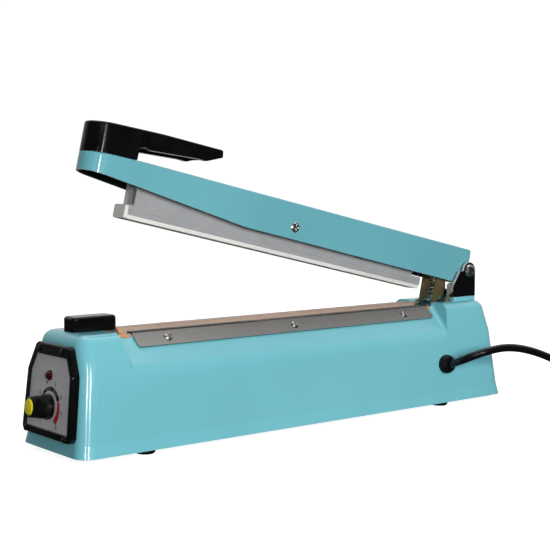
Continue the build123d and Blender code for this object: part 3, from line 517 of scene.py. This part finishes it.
def power_cord(jacket):
    route = [Vector(point) for point in ROUTE]
    centre, turns = coil_points(route[-1], route[-2])
    tail_x = centre.x + COIL_MID_R + CORD_D
    down_to_plug = ((9, 9.75), (17, 9.4), (24, 7.6), (30, 6.8))
    tail = [Vector((tail_x, centre.y + y * MM, z * MM)) for y, z in down_to_plug]
    points = route + turns + tail
    curve = bpy.data.curves.new("mains_cord", "CURVE")
    curve.dimensions = "3D"
    curve.bevel_depth = CORD_D / 2
    curve.bevel_resolution = 6
    curve.resolution_u = 6
    curve.use_fill_caps = True
    spline = curve.splines.new("NURBS")
    spline.points.add(len(points) - 1)
    for control, point in zip(spline.points, points):
        control.co = (*point, 1)
    spline.order_u = 3
    spline.use_endpoint_u = True
    curve.materials.append(jacket)
    cord = link(bpy.data.objects.new("mains_cord", curve))
    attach(cord, "base")
    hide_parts("power_cord", "cord_coil")


# ---- cloth over the heater ----
CLOTH_T = 0.16 * MM
FLAP = 0.25                 # how far down the slope the cloth reaches beyond the ends of the clamp strips
FLAP_Y = 17.0 * MM          # farther out than this, cloth lies only along the clamp strips
NOTCHES = (6.0 * MM, 9.6 * MM)      # the cloth's middle leaves room for the heater's terminals
NOTCH_HALF_W = 9.0 * MM
HEM_MARGIN = 1.5 * MM       # the cloth's edge ends this far within the clamp strips
COLUMNS = 160


def cloth_section():
    """The (y, z) line of the cloth, from the middle of the ridge out under a clamp strip."""
    low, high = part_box("ptfe_cloth")
    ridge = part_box("heater_bar")
    top = high.z - 0.15 * MM
    roof = ridge[0].z + 0.2 * MM
    edge = -low.y
    drop = low.z + 0.2 * MM
    knee = 14.1 * MM
    flap = knee + (edge - knee) * FLAP
    flap_z = roof + (drop - roof) * FLAP
    side = 5.3 * MM
    return [(0, top), (side, top), (side + 0.9 * MM, top - 0.5 * MM), (side + 1.7 * MM, top - 1.8 * MM),
            (side + 2.6 * MM, roof + 0.5 * MM), (side + 4.0 * MM, roof), (knee, roof), (flap, flap_z),
            (edge, drop)]


def heater_cloth(material):
    half = cloth_section()
    section = [(-y, z) for y, z in half[:0:-1]] + half
    low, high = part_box("ptfe_cloth")
    between = (low.x + NOTCHES[0], high.x - NOTCHES[1])
    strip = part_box("clamp_strip_near")
    clamped = (strip[0].x + HEM_MARGIN, strip[1].x - HEM_MARGIN)
    wander = random.Random(4)
    waves = [(wander.uniform(18, 90), wander.uniform(0, 6.3), wander.uniform(0.03, 0.07) * MM)
             for _ in range(6)]
    mesh = bmesh.new()
    rows = []
    for i in range(COLUMNS + 1):
        x = low.x + (high.x - low.x) * i / COLUMNS
        ripple = sum(size * math.sin(rate * x + phase) for rate, phase, size in waves)
        row = []
        for j, (y, z) in enumerate(section):
            # it ripples slightly beside the ridge
            free = 1.0 if 2 <= min(j, len(section) - 1 - j) <= 4 else 0.0
            row.append(mesh.verts.new((x, y, z + free * abs(ripple))))
        rows.append(row)
    for i in range(COLUMNS):
        x = low.x + (high.x - low.x) * (i + 0.5) / COLUMNS
        for j in range(len(section) - 1):
            y = abs(section[j][0] + section[j + 1][0]) / 2
            on_slope = clamped[0] < x < clamped[1] or y < FLAP_Y
            if on_slope and (between[0] < x < between[1] or y > NOTCH_HALF_W):
                mesh.faces.new((rows[i][j], rows[i + 1][j], rows[i + 1][j + 1], rows[i][j + 1]))
    bmesh.ops.delete(mesh, geom=[v for v in mesh.verts if not v.link_faces], context="VERTS")
    bmesh.ops.recalc_face_normals(mesh, faces=mesh.faces)
    for face in mesh.faces:
        face.smooth = True
    data = bpy.data.meshes.new("heater_cloth")
    mesh.to_mesh(data)
    mesh.free()
    obj = mesh_object("heater_cloth", data, material, "base")
    solid = obj.modifiers.new("thickness", "SOLIDIFY")
    solid.thickness = CLOTH_T
    solid.offset = 0
    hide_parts("ptfe_cloth")


# ---- return spring ----
def helix_mesh(name, start, end, radius, wire, turns, closed=1.5):
    """A round wire wound about the line from start to end, with closed turns at both ends."""
    curve = bpy.data.curves.new(name, "CURVE")
    curve.dimensions = "3D"
    curve.bevel_depth = wire / 2
    curve.bevel_resolution = 4
    curve.use_fill_caps = True
    axis = (end - start).normalized()
    side = axis.orthogonal().normalized()
    other = axis.cross(side)
    length = (end - start).length - wire
    steps = 20
    total = turns + 2 * closed
    points = []
    for i in range(int(total * steps) + 1):
        t = i / steps
        level = wire * min(t, closed) + wire * max(0, t - closed - turns)
        level += (length - 2 * closed * wire) * min(max((t - closed) / turns, 0), 1)
        angle = 2 * math.pi * t
        points.append(start + axis * (wire / 2 + level)
                      + (side * math.cos(angle) + other * math.sin(angle)) * radius)
    spline = curve.splines.new("POLY")
    spline.points.add(len(points) - 1)
    for control, point in zip(spline.points, points):
        control.co = (*point, 1)
    shape = link(bpy.data.objects.new(name + "_line", curve))
    bpy.context.view_layer.update()
    mesh = bpy.data.meshes.new_from_object(shape.evaluated_get(bpy.context.evaluated_depsgraph_get()))
    bpy.data.objects.remove(shape)
    mesh.name = name
    mesh.materials.clear()
    return mesh


def lift_spring(steel):
    low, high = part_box("return_spring")
    lean = 5.4 / 37.1           # the spring leans back to its seat on the arm
    height = high.z - low.z
    across = high.x - low.x
    run = lean * height
    middle = (low.x + high.x) / 2
    start = Vector((middle - run / 2, 0, low.z + 0.6 * MM))
    end = Vector((middle + run / 2, 0, high.z - 0.6 * MM))
    wire = 1.0 * MM
    radius = (across - run) / 2 - wire / 2 - 0.2 * MM
    mesh = helix_mesh("lift_spring", start, end, radius, wire, turns=9)
    for polygon in mesh.polygons:
        polygon.use_smooth = True
    obj = mesh_object("lift_spring", mesh, steel, "base")
    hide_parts("return_spring")
    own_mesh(obj)


# ---- what is printed on the panel ----
DIAL = Vector(JOINTS["timer_turn"]["pos_m"])
OUT = Vector(JOINTS["timer_turn"]["axis"]).normalized()
RIGHT = Vector((0, -1, 0))
UP = OUT.cross(RIGHT)
PRINT_LEVEL = 3.4 * MM
PRINT_THICK = 0.05 * MM
DIAL_HALF_TURN = 140        # degrees each side of the dial's top
NUMBERS = 8
NUMBER_RADIUS = 17.2 * MM


def dial_point(radius, degrees, height):
    """A point round the dial, degrees clockwise from its top, at a height in front of the wall."""
    angle = math.radians(degrees)
    across, up = radius * math.sin(angle), radius * math.cos(angle)
    return DIAL + RIGHT * across + UP * up + OUT * height


def dial_band(name, first, last, inner, outer, material):
    """A thin printed band round the dial; inner and outer give the radii at each end, in mm."""
    steps = max(2, int(abs(last - first) / 4))
    mesh = bmesh.new()
    previous = None
    for i in range(steps + 1):
        t = i / steps
        degrees = first + (last - first) * t
        radii = [(a + (b - a) * t) * MM for a, b in (inner, outer)]
        ring = [mesh.verts.new(dial_point(r, degrees, h)) for h in (PRINT_LEVEL, PRINT_LEVEL + PRINT_THICK)
                for r in radii]
        if previous is None:
            mesh.faces.new((ring[0], ring[1], ring[3], ring[2]))
        else:
            for a, b in ((0, 1), (1, 3), (3, 2), (2, 0)):
                mesh.faces.new((previous[a], previous[b], ring[b], ring[a]))
        previous = ring
    mesh.faces.new((previous[0], previous[2], previous[3], previous[1]))
    bmesh.ops.recalc_face_normals(mesh, faces=mesh.faces)
    data = bpy.data.meshes.new(name)
    mesh.to_mesh(data)
    mesh.free()
    return mesh_object(name, data, material, "base")


def dial_numbers(material):
    """The numbers 1 to 8 round the timer dial, in one mesh."""
    whole = bmesh.new()
    tilt = Matrix((RIGHT, UP, OUT)).transposed().to_4x4()
    step = 2 * DIAL_HALF_TURN / (NUMBERS - 1)
    for number in range(NUMBERS):
        curve = bpy.data.curves.new("number", "FONT")
        curve.body = str(number + 1)
        curve.size = 5.0 * MM
        curve.extrude = PRINT_THICK / 2
        curve.align_x = "CENTER"
        curve.align_y = "CENTER"
        text = link(bpy.data.objects.new("number", curve))
        place = dial_point(NUMBER_RADIUS, -DIAL_HALF_TURN + step * number, PRINT_LEVEL + PRINT_THICK / 2)
        text.matrix_world = Matrix.Translation(place) @ tilt
        bpy.context.view_layer.update()
        mesh = bpy.data.meshes.new_from_object(text.evaluated_get(bpy.context.evaluated_depsgraph_get()))
        mesh.transform(text.matrix_world)
        whole.from_mesh(mesh)
        bpy.data.objects.remove(text)
    bmesh.ops.remove_doubles(whole, verts=whole.verts, dist=0.002 * MM)
    data = bpy.data.meshes.new("dial_numbers")
    whole.to_mesh(data)
    whole.free()
    return mesh_object("dial_numbers", data, material, "base")


def dial_print():
    ink = moulded("black_ink", (0.012, 0.012, 0.014), 0.5)
    grey = moulded("grey_ink", (0.07, 0.07, 0.075), 0.5)
    red = moulded("red_ink", (0.42, 0.015, 0.02), 0.45)
    bands, span, gap = 9, 23, 1.5
    for i in range(bands):
        first = -DIAL_HALF_TURN + span * i
        last = first + span - gap
        grow = (i / bands, (i + 1) / bands)
        inner = [11.4 - 0.7 * g for g in grow]
        outer = [12.6 + 2.0 * g for g in grow]
        dial_band(f"dial_band_{i + 1}", first, last, inner, outer, (ink, grey)[i % 2])
    dial_band("dial_red_band", 68, DIAL_HALF_TURN, (11.1, 10.6), (14.0, 15.0), red)
    dial_numbers(ink)


# ---- the scene ----
camera()
finishes = finish_nodes()
power_cord(finishes["cable_jacket"])
studio()
heater_cloth(finishes["ptfe_glass"])
lift_spring(finishes["zinc_plate"])
dial_print()

bpy.context.view_layer.update()
